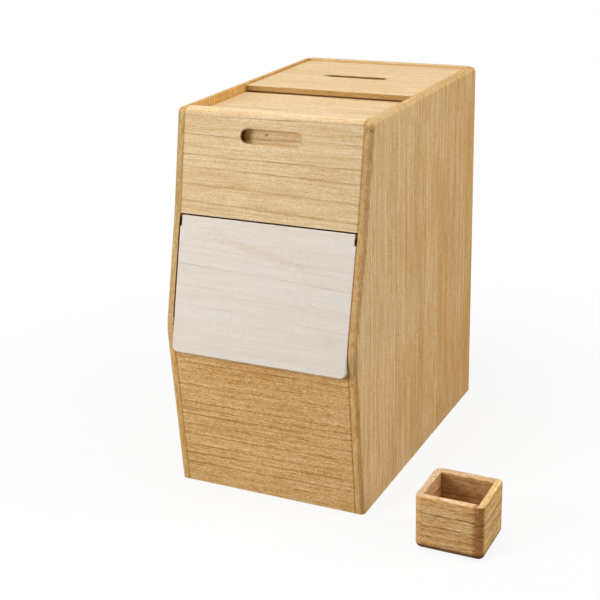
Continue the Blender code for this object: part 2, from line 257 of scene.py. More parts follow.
class Recipe(Tree):
    """A material and the nodes that make it."""

    def __init__(self, name):
        self.material = bpy.data.materials.new(name)
        self.material.use_nodes = True
        super().__init__(self.material.node_tree)
        self.shader = self.nodes["Principled BSDF"]

    def place(self):
        return self.add("ShaderNodeTexCoord", output="Object")

    def facing(self):
        return self.add("ShaderNodeTexCoord", output="Normal")

    def dot(self, vector, axis):
        return self.add("ShaderNodeVectorMath", {"operation": "DOT_PRODUCT"}, {0: vector, 1: axis}, "Value")

    def vector(self, x, y, z):
        return self.add("ShaderNodeCombineXYZ", None, {"X": x, "Y": y, "Z": z})

    def noise(self, vector, detail=2.0, roughness=0.5):
        sockets = {"Vector": vector, "Scale": 1.0, "Detail": detail, "Roughness": roughness}
        return self.add("ShaderNodeTexNoise", {"noise_dimensions": "3D"}, sockets)

    def chance(self, number):
        """A steady random number from 0 to 1 for each whole number."""
        return self.add("ShaderNodeTexWhiteNoise", {"noise_dimensions": "1D"}, {"W": number})

    def blend(self, share, first, second, way="MIX"):
        """Two colours mixed, or one tinted by the other."""
        settings = {"data_type": "RGBA", "blend_type": way, "clamp_factor": True}
        return self.add("ShaderNodeMix", settings, {0: share, 6: first, 7: second}, 2)

    def lit(self, colour, amount):
        """A colour made lighter or darker by a factor."""
        return self.add("ShaderNodeVectorMath", {"operation": "SCALE"}, {0: colour, "Scale": amount})

    def shaded(self, colour, amount, shares):
        """A colour that darkens by its own share in red, green and blue; an amount of 0 keeps it."""
        light = self.vector(*((1.0 + amount * share).most(0.05) for share in shares))
        return self.add("ShaderNodeVectorMath", {"operation": "MULTIPLY"}, {0: colour, 1: light})

    def bump(self, height, strength, distance):
        normal = self.add("ShaderNodeBump", None, {"Strength": strength, "Distance": distance, "Height": height})
        self.feed(self.shader.inputs["Normal"], normal)

    def surface(self, colour, roughness, specular):
        self.feed(self.shader.inputs["Base Color"], colour)
        self.feed(self.shader.inputs["Roughness"], roughness)
        self.shader.inputs["Specular IOR Level"].default_value = specular
        return self.material


X_AXIS = (1.0, 0.0, 0.0)
Y_AXIS = (0.0, 1.0, 0.0)
Z_AXIS = (0.0, 0.0, 1.0)

# The whole of a board, in any of its axes
ALL = (-1.0, 1.0)
# The far middle of the growth rings, across a board and into it
PITH = (-0.60, 0.25)
# Each line takes three stops, and a ramp holds 32
LINES_PER_RAMP = 10
KNOT_TONE = tone(96, 60, 30)
STAIN_RAGGED = 1.2


def face_axes(low, high):
    """The axes of a leaning front board: along its grain, up its face and into it."""
    rise = (high - low).normalized()
    return X_AXIS, (0.0, rise.x, rise.y), (0.0, rise.y, -rise.x)


def face_height(axes, point):
    """How far up a leaning board's face a point in y and z lies."""
    return axes[1][1] * point.x + axes[1][2] * point.y


def face_depth(axes, point):
    """How far into the chest a leaning board's face lies."""
    return axes[2][1] * point.x + axes[2][2] * point.y


def around(middle, reach):
    return middle - reach, middle + reach


def shade(tint, softness, along=ALL, across=ALL, into=ALL):
    """A tinted part of a board, which paints shade or light or draws a dark joint line: its reach along and across the
    grain and into the face, with soft borders.
    """
    return along, across, into, softness, tint


def timber(
    name,
    axes,
    body,
    warm,
    streak,
    edge=(0.97, 0.92, 0.84),
    end=(0.96, 0.88, 0.76),
    end_reach=(0.55, 0.85),
    flank=(1.0, 1.0, 1.0),
    flank_reach=(0.80, 0.95),
    flank_plain=0.0,
    painted_light_and_tints=(),
    painted_light_lean=0.0,
    stains=(),
    lines=(),
    lines_from=0.0,
    lines_span=0.2,
    line_width=0.0012,
    line_depth=0.75,
    line_slope=0.0,
    line_fan=0.0,
    dash=45.0,
    solid=0.6,
    ring_gap=0.019,
    ring_width=0.10,
    ring_depth=0.25,
    fine_gap=0.0048,
    fine_depth=0.2,
    wave=0.010,
    ripple=0.0012,
    pores=0.3,
    fibre=0.4,
    mottle=0.3,
    warmth=(1.0, 1.75, 3.2),
    dashes_per_metre=(110.0, 430.0),
    band=(8.0, 190.0),
    banding=0.18,
    patch=1.2,
    drift=(0.0, 0.0, 0.0),
    stave=10.0,
    stave_shift=0.0,
    stave_tone=0.0,
    knots=(),
    seed=0.0,
    roughness=0.52,
):
    """Sawn wood: growth lines and rings round a far pith, fibres, pores, staves, stains, knots, painted shade and
    light, end grain.
    """
    wood = Recipe(name)
    place = wood.place()
    u, v, w = (wood.dot(place, axis) for axis in axes)
    facing = wood.facing()
    end_on, flank_on, face_on = (abs(wood.dot(facing, axis)) for axis in axes)

    def figure(along, over, detail=2.0, roughness=0.5, seed_along=True):
        """Noise drawn out along the grain, by its scales along it and over it."""
        lengthways, crossways = u * along, v * over
        if seed_along:
            lengthways = lengthways + seed
        else:
            crossways = crossways + seed
        return wood.noise(wood.vector(lengthways, crossways, w * over), detail, roughness)

    stave_chance = wood.chance(((v + stave_shift) / stave).floor() + seed)
    sway = wood.noise(wood.vector(u * 5.0 + seed, v * 7.0, w * 7.0 + stave_chance * 9.0)) - 0.5
    shake = figure(75.0, 60.0) - 0.5
    bend = sway * wave + shake * ripple
    flecks = figure(dash, 300.0, seed_along=False)
    stretch = figure(14.0, 30.0, 1.0)
    broken = (solid + (1.0 - solid) * flecks.step(0.36, 0.58)) * (solid + (1.0 - solid) * stretch.step(0.36, 0.60))

    across = v - PITH[0]
    inward = w - PITH[1]
    radius = (across * across + inward * inward) ** 0.5 + bend + stave_chance * stave_tone * 0.4
    ring = radius / ring_gap
    ring = ring + (wood.noise(wood.vector(ring * 0.55 + seed, 0.0, 0.0), 0.0) - 0.5) * 0.9
    ring_number = ring.floor()
    through = ring - ring_number
    ring_line = through.step(1.0 - ring_width, 1.0 - ring_width * 0.35) * through.step(1.0, 0.985)
    dark = ring_line * (0.3 + 0.7 * wood.chance(ring_number + 3.0 + seed)) * broken * ring_depth

    fine = radius / fine_gap
    fine = fine + wood.noise(wood.vector(fine * 0.35, seed, 5.0), 0.0) - 0.5
    fine_number = fine.floor()
    fine_through = fine - fine_number
    fine_line = fine_through.step(0.45, 0.93) * fine_through.step(1.0, 0.95)
    fine_line = fine_line * (0.25 + 0.75 * wood.chance(fine_number + 11.0 + seed)) * flecks

    if lines:
        up = v - lines_from
        level = (up - u * (up * line_fan + line_slope) + bend * 0.8) / lines_span
        for first in range(0, len(lines), LINES_PER_RAMP):
            stops = []
            for height, strength in lines[first : first + LINES_PER_RAMP]:
                for offset, shade in ((-line_width, 0.0), (0.0, strength), (line_width * 0.55, 0.0)):
                    stops.append(((height + offset) / lines_span, (shade, shade, shade)))
            drawn = wood.add("ShaderNodeValToRGB", {"stops": stops}, {"Fac": level})
            dark = dark.most(drawn * broken * line_depth)

    threads = figure(26.0, 900.0, 3.0, 0.65) - 0.5
    grit = figure(330.0, 1000.0, roughness=0.6, seed_along=False) - 0.5
    dashes = figure(*dashes_per_metre, roughness=0.6) - 0.5
    bands = figure(*band, roughness=0.55, seed_along=False) - 0.5
    pits = figure(150.0, 1500.0, 1.0).step(0.60, 0.74)
    cloud = figure(9.0, 26.0, 3.0) - 0.5

    share = cloud * patch + (stave_chance - 0.5) * stave_tone + wood.dot(place, drift) + through * 0.15 + 0.38
    share = share - bands * banding * 3.0 - dashes * mottle
    colour = wood.blend(share.most(0.0).least(1.0), body, warm)
    colour = wood.blend(fine_line * fine_depth, colour, streak)
    colour = wood.blend(dark, colour, streak)
    colour = wood.blend(pits * pores, colour, streak)
    flank_share = flank_on.step(*flank_reach)
    colour = wood.blend(flank_share * flank_plain, colour, warm)
    colour = wood.shaded(colour, (threads + grit) * fibre + dashes * mottle + bands * banding, warmth)
    for along, above, reach, width, slope, tint in stains:
        aside = u - along
        off = (v - above - aside * slope) / width
        aside = aside / reach
        gap = (aside * aside + off * off) ** 0.5 + (cloud + dashes) * STAIN_RAGGED
        colour = wood.blend(gap.step(1.1, 0.2), colour, tint, "MULTIPLY")
    for *spot, size in knots:
        gap = wood.add("ShaderNodeVectorMath", {"operation": "DISTANCE"}, {0: place, 1: spot}, "Value")
        colour = wood.blend((gap + shake * size).step(size, size * 0.35) * 0.8, colour, KNOT_TONE)
    # Boxes that paint shade and light, and a few dark joint lines, multiplied into the colour
    leaning = v - u * painted_light_lean if painted_light_lean else v
    for *spans, softness, tint in painted_light_and_tints:
        inside = 1.0
        for distance, span in zip((u, leaning, w), spans):
            if span is not ALL:
                reach = (span[1] - span[0]) / 2
                inside = abs(distance - sum(span) / 2).step(reach, reach - softness) * inside
        colour = wood.blend(inside, colour, tint, "MULTIPLY")
    # Faces across the grain take the flank tint, which on some boards paints shade or light
    colour = wood.blend(flank_share, colour, flank, "MULTIPLY")
    colour = wood.blend(end_on.step(*end_reach), colour, end, "MULTIPLY")
    # Rounded arrises take the edge tint, broken by grit: wear, and on some boards a painted highlight or painted shade
    edge_wear_and_light = end_on.most(flank_on).most(face_on).step(0.992, 0.93) * end_on.step(0.5, 0.2)
    colour = wood.blend(edge_wear_and_light * (0.7 + grit), colour, edge, "MULTIPLY")

    height = threads * 0.6 + grit * 0.4 - pits * 0.4 - dark * 0.12 - fine_line * 0.10
    wood.bump(height, 0.35, 0.0004)
    polish = roughness + threads * 0.12 + dark * 0.12 + pits * 0.10 - edge_wear_and_light * 0.05
    return wood.surface(colour, polish, 0.12)


def moulded_nylon(name):
    nylon = Recipe(name)
    grain = nylon.noise(nylon.lit(nylon.place(), 2600.0))
    colour = nylon.blend(grain, tone(24, 17, 12), tone(42, 33, 25))
    nylon.bump(grain, 0.25, 0.0001)
    return nylon.surface(colour, 0.62 + grain * 0.2, 0.06)


def turned_steel(name):
    steel = Recipe(name)
    place = steel.place()
    lines = steel.noise(steel.vector(steel.dot(place, X_AXIS) * 5200.0, 0.0, 0.0))
    spots = steel.noise(steel.lit(place, 900.0))
    colour = steel.blend(lines * 0.6 + spots * 0.4, tone(150, 150, 150), tone(205, 205, 203))
    steel.bump(lines, 0.2, 0.0001)
    steel.shader.inputs["Metallic"].default_value = 1.0
    return steel.surface(colour, 0.24 + spots * 0.2, 0.5)


# ---------------------------------------------------------------- cutting boards


def cut_board_tree():
    """Nodes that cut a board: an outline is filled, sawn to a thickness, turned and put in place."""
    tree = bpy.data.node_groups.new("cut_board", "GeometryNodeTree")
    ports = {}
    for name, kind, way in (
        ("Outline", "NodeSocketGeometry", "INPUT"),
        ("Thickness", "NodeSocketFloat", "INPUT"),
        ("Turn", "NodeSocketVector", "INPUT"),
        ("Place", "NodeSocketVector", "INPUT"),
        ("Wood", "NodeSocketMaterial", "INPUT"),
        ("Board", "NodeSocketGeometry", "OUTPUT"),
    ):
        ports[name] = tree.interface.new_socket(name, in_out=way, socket_type=kind).identifier
    bench = Tree(tree)
    given = {name: bench.add("NodeGroupInput", output=name) for name in ports if name != "Board"}
    line = bench.add("GeometryNodeMeshToCurve", None, {"Mesh": given["Outline"]})
    face = bench.add("GeometryNodeFillCurve", {"mode": "NGONS"}, {"Curve": line})
    cut = {"Mesh": face, "Offset Scale": given["Thickness"], "Individual": False}
    sawn = bench.add("GeometryNodeExtrudeMesh", {"mode": "FACES"}, cut)
    underside = bench.add("GeometryNodeFlipFaces", None, {"Mesh": face})
    both = bench.add("GeometryNodeJoinGeometry", None, {"Geometry": (sawn, underside)})
    welded = bench.add("GeometryNodeMergeByDistance", None, {"Geometry": both, "Distance": WELD_DISTANCE})
    lie = {"Geometry": welded, "Translation": given["Place"], "Rotation": given["Turn"]}
    laid = bench.add("GeometryNodeTransform", None, lie)
    solid = bench.add("GeometryNodeRealizeInstances", None, {"Geometry": laid})
    finished = bench.add("GeometryNodeSetMaterial", None, {"Geometry": solid, "Material": given["Wood"]})
    bench.add("NodeGroupOutput", None, {"Board": finished})
    return tree, ports


CUT_BOARD, BOARD_PORTS = cut_board_tree()

# How an outline drawn flat is turned before it is put in place
UPRIGHT_SIDE = (math.pi / 2, 0.0, math.pi / 2)
FLAT = (0.0, 0.0, 0.0)


def plain_mesh(piece):
    """Turns what a piece's modifiers make into its own mesh."""
    seen = piece.evaluated_get(bpy.context.evaluated_depsgraph_get())
    mesh = bpy.data.meshes.new_from_object(seen)
    piece.modifiers.clear()
    old = piece.data
    piece.data = mesh
    bpy.data.meshes.remove(old)


def cut_board(name, outlines, thickness, turn, place, wood):
    """A board cut by the node tree: one outer outline, and any holes."""
    mesh = bpy.data.meshes.new(name)
    points, edges = [], []
    for outline in outlines:
        start, count = len(points), len(outline)
        points += [(a, b, 0.0) for a, b in outline]
        edges += [(start + i, start + (i + 1) % count) for i in range(count)]
    mesh.from_pydata(points, edges, [])
    board = bpy.data.objects.new(name, mesh)
    bpy.context.scene.collection.objects.link(board)
    sawn = board.modifiers.new("cut_board", "NODES")
    sawn.node_group = CUT_BOARD
    sawn[BOARD_PORTS["Thickness"]] = thickness
    sawn[BOARD_PORTS["Turn"]] = turn
    sawn[BOARD_PORTS["Place"]] = tuple(place)
    sawn[BOARD_PORTS["Wood"]] = wood
    plain_mesh(board)
    shape = bmesh.new()
    shape.from_mesh(board.data)
    bmesh.ops.recalc_face_normals(shape, faces=shape.faces)
    shape.to_mesh(board.data)
    shape.free()
    return board


def board_between_sides(name, outline, wood):
    """A board whose outline in y and z runs from one side to the other."""
    return cut_board(name, [outline], 2 * FILLED_HALF, UPRIGHT_SIDE, (-FILLED_HALF, 0.0, 0.0), wood)


def round_over(board, chosen, radius, segments=6):
    """Rounds the edges of a board that a test picks."""
    shape = bmesh.new()
    shape.from_mesh(board.data)
    edges = [edge for edge in shape.edges if chosen(edge)]
    bmesh.ops.bevel(
        shape, geom=edges, offset=radius, segments=segments, profile=0.5, affect="EDGES", clamp_overlap=True
    )
    shape.to_mesh(board.data)
    shape.free()


def level_at(edge, axis, level):
    return all(abs(end.co[axis] - level) < LEVEL_TOLERANCE for end in edge.verts)


def is_sharp(edge):
    return edge.calc_face_angle(0.0) > SHARP_TURN


def take_out(board, tool):
    """Cuts a tool's shape out of a board and throws the tool away."""
    taken = board.modifiers.new("take_out", "BOOLEAN")
    taken.operation = "DIFFERENCE"
    taken.solver = "EXACT"
    taken.object = tool
    plain_mesh(board)
    old = tool.data
    bpy.data.objects.remove(tool)
    bpy.data.meshes.remove(old)


def ease(board, width, segments=3, angle=40.0):
    """Breaks a board's sharp edges and shades the rounding smoothly."""
    eased = board.modifiers.new("ease", "BEVEL")
    eased.width = width
    eased.segments = segments
    eased.limit_method = "ANGLE"
    eased.angle_limit = math.radians(angle)
    eased.use_clamp_overlap = True
    plain_mesh(board)
    board.data.shade_smooth()
    board.data.set_sharp_from_angle(angle=CREASE_ANGLE)
    weighted = board.modifiers.new("flat_faces", "WEIGHTED_NORMAL")
    weighted.keep_sharp = True
    weighted.weight = 100
    plain_mesh(board)


def hang(board, wood, body, slot, *nodes):
    """Gives a finished board its wood and rides it on its body in place of the frame's own solid."""
    board.data.materials.clear()
    board.data.materials.append(wood)
    board.data.polygons.foreach_set("material_index", [0] * len(board.data.polygons))
    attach(board, body)
    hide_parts(*nodes)


def rounded(points, radii, step=ARC_STEP):
    """A closed outline whose corners are arcs; a radius of 0 keeps a corner sharp."""
    outline = []
    for index, (corner, radius) in enumerate(zip(points, radii)):
        corner = Vector(corner)
        if radius == 0:
            outline.append(tuple(corner))
            continue
        before = (corner - Vector(points[index - 1])).normalized()
        after = (Vector(points[(index + 1) % len(points)]) - corner).normalized()
        turn = math.atan2(before.cross(after), before.dot(after))
        back_off = radius * math.tan(abs(turn) / 2)
        start = corner - before * back_off
        side = math.copysign(1.0, turn)
        centre = start + Vector((-before.y, before.x)) * side * radius
        heading = math.atan2(before.y, before.x)
        steps = max(2, round(abs(turn) / step))
        for number in range(steps + 1):
            angle = heading + turn * number / steps - side * math.pi / 2
            outline.append((centre.x + radius * math.cos(angle), centre.y + radius * math.sin(angle)))
    return outline


def stadium(length, height, middle=(0.0, 0.0)):
    """An outline with half-round ends."""
    radius = height / 2
    straight = length / 2 - radius
    outline = []
    for end, start in ((straight, -math.pi / 2), (-straight, math.pi / 2)):
        for number in range(HALF_ROUND_STEPS + 1):
            angle = start + math.pi * number / HALF_ROUND_STEPS
            outline.append((middle[0] + end + radius * math.cos(angle), middle[1] + radius * math.sin(angle)))
    return outline


def depth_at(low, high, height):
    """The y of a front line at a height."""
    return low.x + (high.x - low.x) * (height - low.y) / (high.y - low.y)


def set_back(low, high, distance):
    """A front line moved into the chest, square to itself."""
    shift = Vector((distance * (high - low).length / (high.y - low.y), 0.0))
    return low + shift, high + shift


def crossing(first, second):
    """Where two lines in y and z meet."""
    one, other = first[1] - first[0], second[1] - second[0]
    share = (second[0] - first[0]).cross(other) / one.cross(other)
    return first[0] + one * share


def oblong(half_width, front, rear):
    """A flat outline, square to the chest."""
    return (-half_width, front), (half_width, front), (half_width, rear), (-half_width, rear)


def bore_for_pin(board, *ends):
    """A round hole along X for one of the flap's pins."""
    low, high = sorted(ends)
    angles = [math.tau * number / HOLE_SIDES for number in range(HOLE_SIDES)]
    circle = [(PIN_HOLE_RADIUS * math.cos(angle), PIN_HOLE_RADIUS * math.sin(angle)) for angle in angles]
    take_out(board, cut_board("pin_hole", [circle], high - low, UPRIGHT_SIDE, (low, PIVOT.y, PIVOT.z), None))


# ---------------------------------------------------------------- woods of the chest and the box

UPPER_AXES = face_axes(HEAD, RIM)
FLAP_AXES = face_axes(BEND, HEAD)
LOWER_AXES = face_axes(FOOT, BEND)
SIDE_AXES = (Z_AXIS, Y_AXIS, X_AXIS)
LEVEL_AXES = (X_AXIS, Y_AXIS, Z_AXIS)
STANDING_AXES = (X_AXIS, Z_AXIS, Y_AXIS)
FRONT_TO_BACK_AXES = (Y_AXIS, Z_AXIS, X_AXIS)

RECESS_LEVEL = face_height(UPPER_AXES, Vector((depth_at(HEAD, RIM, RECESS_HEIGHT), RECESS_HEIGHT)))
RECESS_BAND = around(RECESS_LEVEL, 0.020)
UPPER_FACE = face_depth(UPPER_AXES, HEAD)
UPPER_TOP = face_height(UPPER_AXES, RIM)
FLAP_SHADE_LEVEL = face_height(LOWER_AXES, FOOT) + 0.178
END_LINES = tuple(shade((0.68, 0.60, 0.48), 0.0009, around(end * 0.1097, 0.0016)) for end in (-1, 1))

UPPER_WOOD = timber(
    "upper_front_wood",
    UPPER_AXES,
    body=tone(227, 201, 160),
    warm=tone(214, 181, 133),
    streak=tone(164, 120, 62),
    # The edge and flank tints lighten the rim's top and rounding: a painted highlight
    edge=(1.08, 1.07, 1.04),
    end=(0.80, 0.72, 0.60),
    end_reach=(0.2, 0.9),
    flank=(1.12, 1.13, 1.13),
    painted_light_and_tints=(
        # Painted shadow in the finger recess, darkest on its left end wall and fading over its floor
        shade((0.78, 0.62, 0.40), 0.0135, around(-0.041, 0.017), RECESS_BAND, around(UPPER_FACE + 0.0152, 0.0150)),
        shade((0.16, 0.10, 0.05), 0.0034, around(-0.040, 0.007), RECESS_BAND, around(UPPER_FACE + 0.0054, 0.0052)),
        shade((0.95, 0.955, 0.96), 0.0040, around(0.0, 0.040), RECESS_BAND, around(UPPER_FACE + 0.0140, 0.0080)),
        # Painted shade in a band just below the rim
        shade((0.97, 0.955, 0.93), 0.008, across=around(UPPER_TOP - 0.014, 0.012)),
        *END_LINES,
    ),
    lines=(
        (0.0060, 0.30), (0.0118, 0.95), (0.0322, 0.70), (0.0440, 0.20), (0.0522, 1.0), (0.0670, 0.85),
        (0.0780, 0.20), (0.0910, 0.80), (0.1130, 0.75),
    ),
    lines_from=face_height(UPPER_AXES, HEAD),
    lines_span=0.120,
    line_width=0.0019,
    line_depth=0.85,
    line_slope=-0.030,
    line_fan=0.35,
    solid=0.5,
    ring_depth=0.12,
    fine_depth=0.12,
    wave=0.010,
    ripple=0.0020,
    fibre=0.50,
    mottle=0.19,
    knots=((-0.0119, -0.1374, 0.4240, 0.0024), (-0.0098, -0.1374, 0.4245, 0.0018)),
    seed=1.7,
)
LOWER_WOOD = timber(
    "lower_front_wood",
    LOWER_AXES,
    body=tone(227, 187, 130),
    warm=tone(213, 168, 106),
    streak=tone(156, 106, 30),
    # Painted shadow cast by the flap's foot across the head of the lower board
    painted_light_and_tints=(shade((0.76, 0.72, 0.66), 0.008, across=around(FLAP_SHADE_LEVEL, 0.011)), *END_LINES),
    lines=(
        (0.0280, 0.85), (0.0420, 1.0), (0.0530, 0.75), (0.0680, 0.95), (0.0815, 0.65), (0.0955, 1.0),
        (0.1035, 0.75), (0.1118, 0.75), (0.1205, 0.40), (0.1278, 0.35), (0.1350, 0.60), (0.1640, 0.90),
    ),
    lines_from=face_height(LOWER_AXES, FOOT),
    lines_span=0.180,
    line_width=0.0022,
    line_depth=0.88,
    line_slope=0.010,
    dash=110.0,
    solid=0.65,
    ring_gap=0.0085,
    ring_depth=0.14,
    fine_gap=0.0040,
    fine_depth=0.14,
    wave=0.005,
    ripple=0.0028,
    pores=0.45,
    fibre=1.0,
    mottle=0.36,
    dashes_per_metre=(150.0, 640.0),
    seed=5.3,
)

# The front edge of a side: its stretches in height, the flap's line along it and the inner arris
UPPER_STRETCH = around(0.388, 0.056)
FLAP_STRETCH = around(0.2725, 0.0575)
LOWER_STRETCH = around(0.080, 0.100)
FLAP_LEAN = (HEAD.x - BEND.x) / (HEAD.y - BEND.y)
FLAP_LINE = around(BEND.x - BEND.y * FLAP_LEAN + 0.0007, 0.0019)
INNER_ARRIS = 0.1094
SIDE_LINES = (
    (0.0670, 0.55), (0.0730, 0.65), (0.1100, 0.60), (0.1190, 0.75), (0.1960, 0.65),
    (0.2060, 0.55), (0.3040, 0.80), (0.3140, 1.00), (0.3230, 0.70), (0.3520, 0.65),
)
SIDE_WOODS = {
    side: timber(
        f"side_wood_{side}",
        SIDE_AXES,
        body=tone(231, 193, 137),
        warm=tone(210, 161, 86),
        streak=tone(148, 97, 32),
        edge=edge,
        end=(0.88, 0.86, 0.80),
        flank=flank,
        flank_reach=(0.25, 0.70),
        flank_plain=0.7,
        painted_light_and_tints=(
            shade((0.97, 0.86, 0.60), 0.0004, into=around(sign * INNER_ARRIS, 0.0014)),
            # The front edge is tinted darker along its upper stretch and lighter along its lower
            shade((0.90, 0.90, 0.86), 0.003, UPPER_STRETCH, into=around(sign * 0.1132, 0.0056)),
            shade((1.14, 1.09, 0.98), 0.003, LOWER_STRETCH, into=around(sign * 0.1145, 0.0062)),
            # In the seam beside the flap: painted shadow on the left side, painted light on the right
            shade(gap, 0.0006, FLAP_STRETCH, FLAP_LINE, around(sign * INNER_ARRIS, 0.0013)),
        ),
        painted_light_lean=FLAP_LEAN,
        stains=((0.175, 0.0685, 0.090, 0.013, 0.0, (0.98, 0.89, 0.77)),),
        lines=SIDE_LINES,
        lines_from=BEND.x,
        lines_span=0.400,
        line_width=0.0022,
        line_depth=0.6,
        dash=20.0,
        solid=0.4,
        ring_gap=0.0105,
        ring_width=0.26,
        ring_depth=0.18,
        fine_gap=0.0044,
        fine_depth=0.60,
        wave=0.006,
        ripple=0.0005,
        pores=0.20,
        fibre=0.7,
        band=(9.0, 330.0),
        banding=0.38,
        drift=(0.0, 2.4, -0.7),
        stave=0.043,
        stave_shift=0.2,
        stave_tone=0.35,
        knots=knots,
        seed=seed,
    )
    # Per side: seed, edge and flank tints, seam tint and knots; the differing edge and flank tints are painted light,
    # the left front edge paler and the right one darker
    for side, sign, seed, edge, flank, gap, knots in (
        ("left", -1, 21.4, (0.86, 0.92, 1.04), (0.84, 0.91, 1.10), (0.24, 0.19, 0.14), ()),
        (
            "right", 1, 12.9, (0.83, 0.80, 0.74), (0.90, 0.94, 1.2), (1.25, 1.25, 1.25),
            ((0.1174, -0.1448, 0.4398, 0.0020),),
        ),
    )
}
BACK_WOOD = timber(
    "back_wood",
    STANDING_AXES,
    body=tone(224, 188, 136),
    warm=tone(208, 164, 104),
    streak=tone(146, 102, 54),
    edge=(0.80, 0.78, 0.74),
    flank=(1.04, 1.17, 1.40),
    ring_gap=0.017,
    ring_depth=0.5,
    fine_depth=0.3,
    seed=31.0,
)
TOP_BOARD_WOOD = timber(
    "front_top_wood",
    LEVEL_AXES,
    body=tone(235, 210, 168),
    warm=tone(224, 190, 138),
    streak=tone(168, 126, 74),
    ring_gap=0.014,
    ring_depth=0.42,
    fine_depth=0.32,
    ripple=0.0008,
    banding=0.5,
    mottle=0.4,
    warmth=(1.0, 1.2, 1.6),
    seed=41.5,
)
SLOT_BAND = around(SLOT_MIDDLE, 0.0066)
LID_WOOD = timber(
    "lid_wood",
    LEVEL_AXES,
    body=tone(233, 205, 160),
    warm=tone(220, 185, 132),
    streak=tone(164, 122, 70),
    # The flank tint paints shade on the faces across the grain: the front and rear edges and the slot's walls
    flank=(0.57, 0.48, 0.31),
    painted_light_and_tints=(
        # Painted shadow in the slot, darkest at its left end; painted shade along the rear edge; a painted shadow line
        # under the front edge
        shade((0.74, 0.64, 0.50), 0.0004, around(0.0, 0.0396), SLOT_BAND),
        shade((0.50, 0.44, 0.38), 0.0030, around(-0.0375, 0.0090), SLOT_BAND),
        shade((0.90, 0.85, 0.77), 0.008, across=around(LID_REACH[1], 0.010)),
        shade((0.26, 0.20, 0.12), 0.0006, across=around(LID_REACH[0], 0.004), into=around(LID_LEVELS[0], 0.0022)),
    ),
    ring_gap=0.013,
    ring_depth=0.46,
    fine_depth=0.36,
    ripple=0.0010,
    banding=0.25,
    mottle=0.4,
    warmth=(1.0, 1.2, 1.6),
    seed=47.2,
)
FLAP_LEVEL = face_height(FLAP_AXES, HEAD) - 0.160
FLAP_WOOD = timber(
    "pale_flap_wood",
    FLAP_AXES,
    body=tone(227, 221, 214),
    warm=tone(223, 211, 199),
    streak=tone(176, 156, 140),
    edge=(1.0, 1.0, 1.0),
    end=(0.97, 0.95, 0.92),
    stains=(
        (0.005, FLAP_LEVEL + 0.1240, 0.085, 0.0070, -0.19, (0.965, 0.905, 0.845)),
        (-0.064, FLAP_LEVEL + 0.1440, 0.022, 0.0045, -0.10, (0.980, 0.935, 0.890)),
        (0.088, FLAP_LEVEL + 0.0355, 0.010, 0.0090, 0.0, (0.975, 0.935, 0.885)),
        (0.043, FLAP_LEVEL + 0.0118, 0.026, 0.0050, -0.05, (0.980, 0.945, 0.910)),
    ),
    lines=((0.0100, 0.30), (0.0530, 0.40), (0.0755, 0.45), (0.0990, 0.95), (0.1120, 0.30), (0.1200, 0.40)),
    lines_from=FLAP_LEVEL,
    lines_span=0.160,
    line_width=0.0018,
    line_depth=0.5,
    line_slope=-0.045,
    ring_gap=0.026,
    ring_width=0.3,
    ring_depth=0.10,
    fine_gap=0.0065,
    fine_depth=0.08,
    wave=0.014,
    ripple=0.0010,
    pores=0.05,
    fibre=0.18,
    mottle=0.12,
    warmth=(1.0, 1.05, 1.2),
    banding=0.05,
    patch=1.4,
    seed=53.6,
    roughness=0.6,
)


def box_inside_shade(tint, middle, half):
    """Painted shade on the inner face of a box wall below its rim."""
    face = middle + half - math.copysign(BOX_WALL, half)
    return shade(tint, 0.0006, across=(-0.01, BOX_HEIGHT - BOX_ARRIS), into=around(face, 0.0012))


# Painted shadow along the box's foot
BOX_FOOT_SHADOW = shade((0.22, 0.17, 0.13), 0.0045, across=around(0.0, 0.0095))
BOX_CORNER = shade((0.58, 0.48, 0.47), 0.006, around(BOX_MIDDLE.x + BOX_HALF_WIDTH - BOX_WALL, 0.006))
BOX_BACK_INSIDE_SHADE = box_inside_shade((0.67, 0.64, 0.65), BOX_MIDDLE.y, BOX_HALF_DEPTH)
BOX_LEFT_INSIDE_SHADE = box_inside_shade((0.97, 0.94, 0.97), BOX_MIDDLE.x, -BOX_HALF_WIDTH)
BOX_WOOD = {
    "body": tone(225, 185, 129),
    "warm": tone(205, 158, 96),
    "streak": tone(124, 74, 18),
    "edge": (1.0, 0.99, 0.96),
    "end": (0.80, 0.66, 0.54),
    "flank_plain": 0.5,
    "ring_gap": 0.0095,
    "ring_width": 0.2,
    "ring_depth": 0.30,
    "fine_gap": 0.0036,
    "fine_depth": 0.26,
    "dash": 80.0,
    "wave": 0.016,
    "ripple": 0.0034,
    "fibre": 0.65,
    "mottle": 0.75,
    "patch": 2.0,
}
BOX_WALL_WOOD = BOX_WOOD | {
    "lines": ((0.0100, 0.45), (0.0185, 0.45), (0.0265, 0.50), (0.0315, 0.95), (0.0455, 0.90), (0.0560, 0.25)),
    "lines_span": 0.064,
    "line_width": 0.0022,
    "line_depth": 1.0,
}
